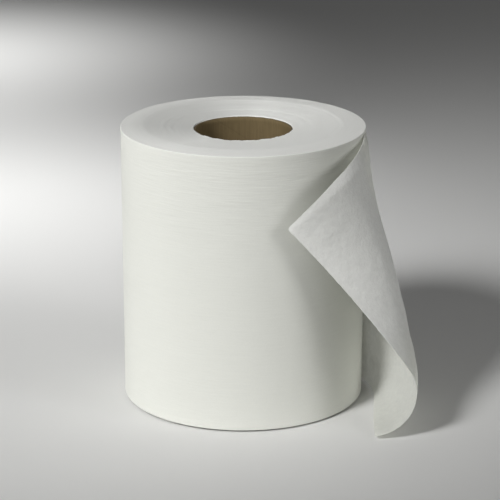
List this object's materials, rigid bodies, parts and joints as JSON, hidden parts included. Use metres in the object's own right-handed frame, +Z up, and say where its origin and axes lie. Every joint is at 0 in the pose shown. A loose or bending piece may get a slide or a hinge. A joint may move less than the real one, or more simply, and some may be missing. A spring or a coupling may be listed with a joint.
{
  "type": "paper towel roll",
  "caption": "Wide roll of white paper towel standing on end, wound on a kraft board tube, its loose end drooping off the side.",
  "frame": {"origin": "the roll's axis at the floor that it stands on", "axes": "+Z up along the roll's axis; +X to the side that the loose end stands off; -Y toward the viewer of the picture"},
  "size_m": [0.217, 0.1948, 0.205],
  "materials": {
    "towel_paper": "matte, soft and fibrous",
    "kraft_board": "matte, bare kraft liner"
  },
  "bodies": {
    "root": {"paper_roll": "towel_paper", "core_tube": "kraft_board"}
  },
  "joints": []
}
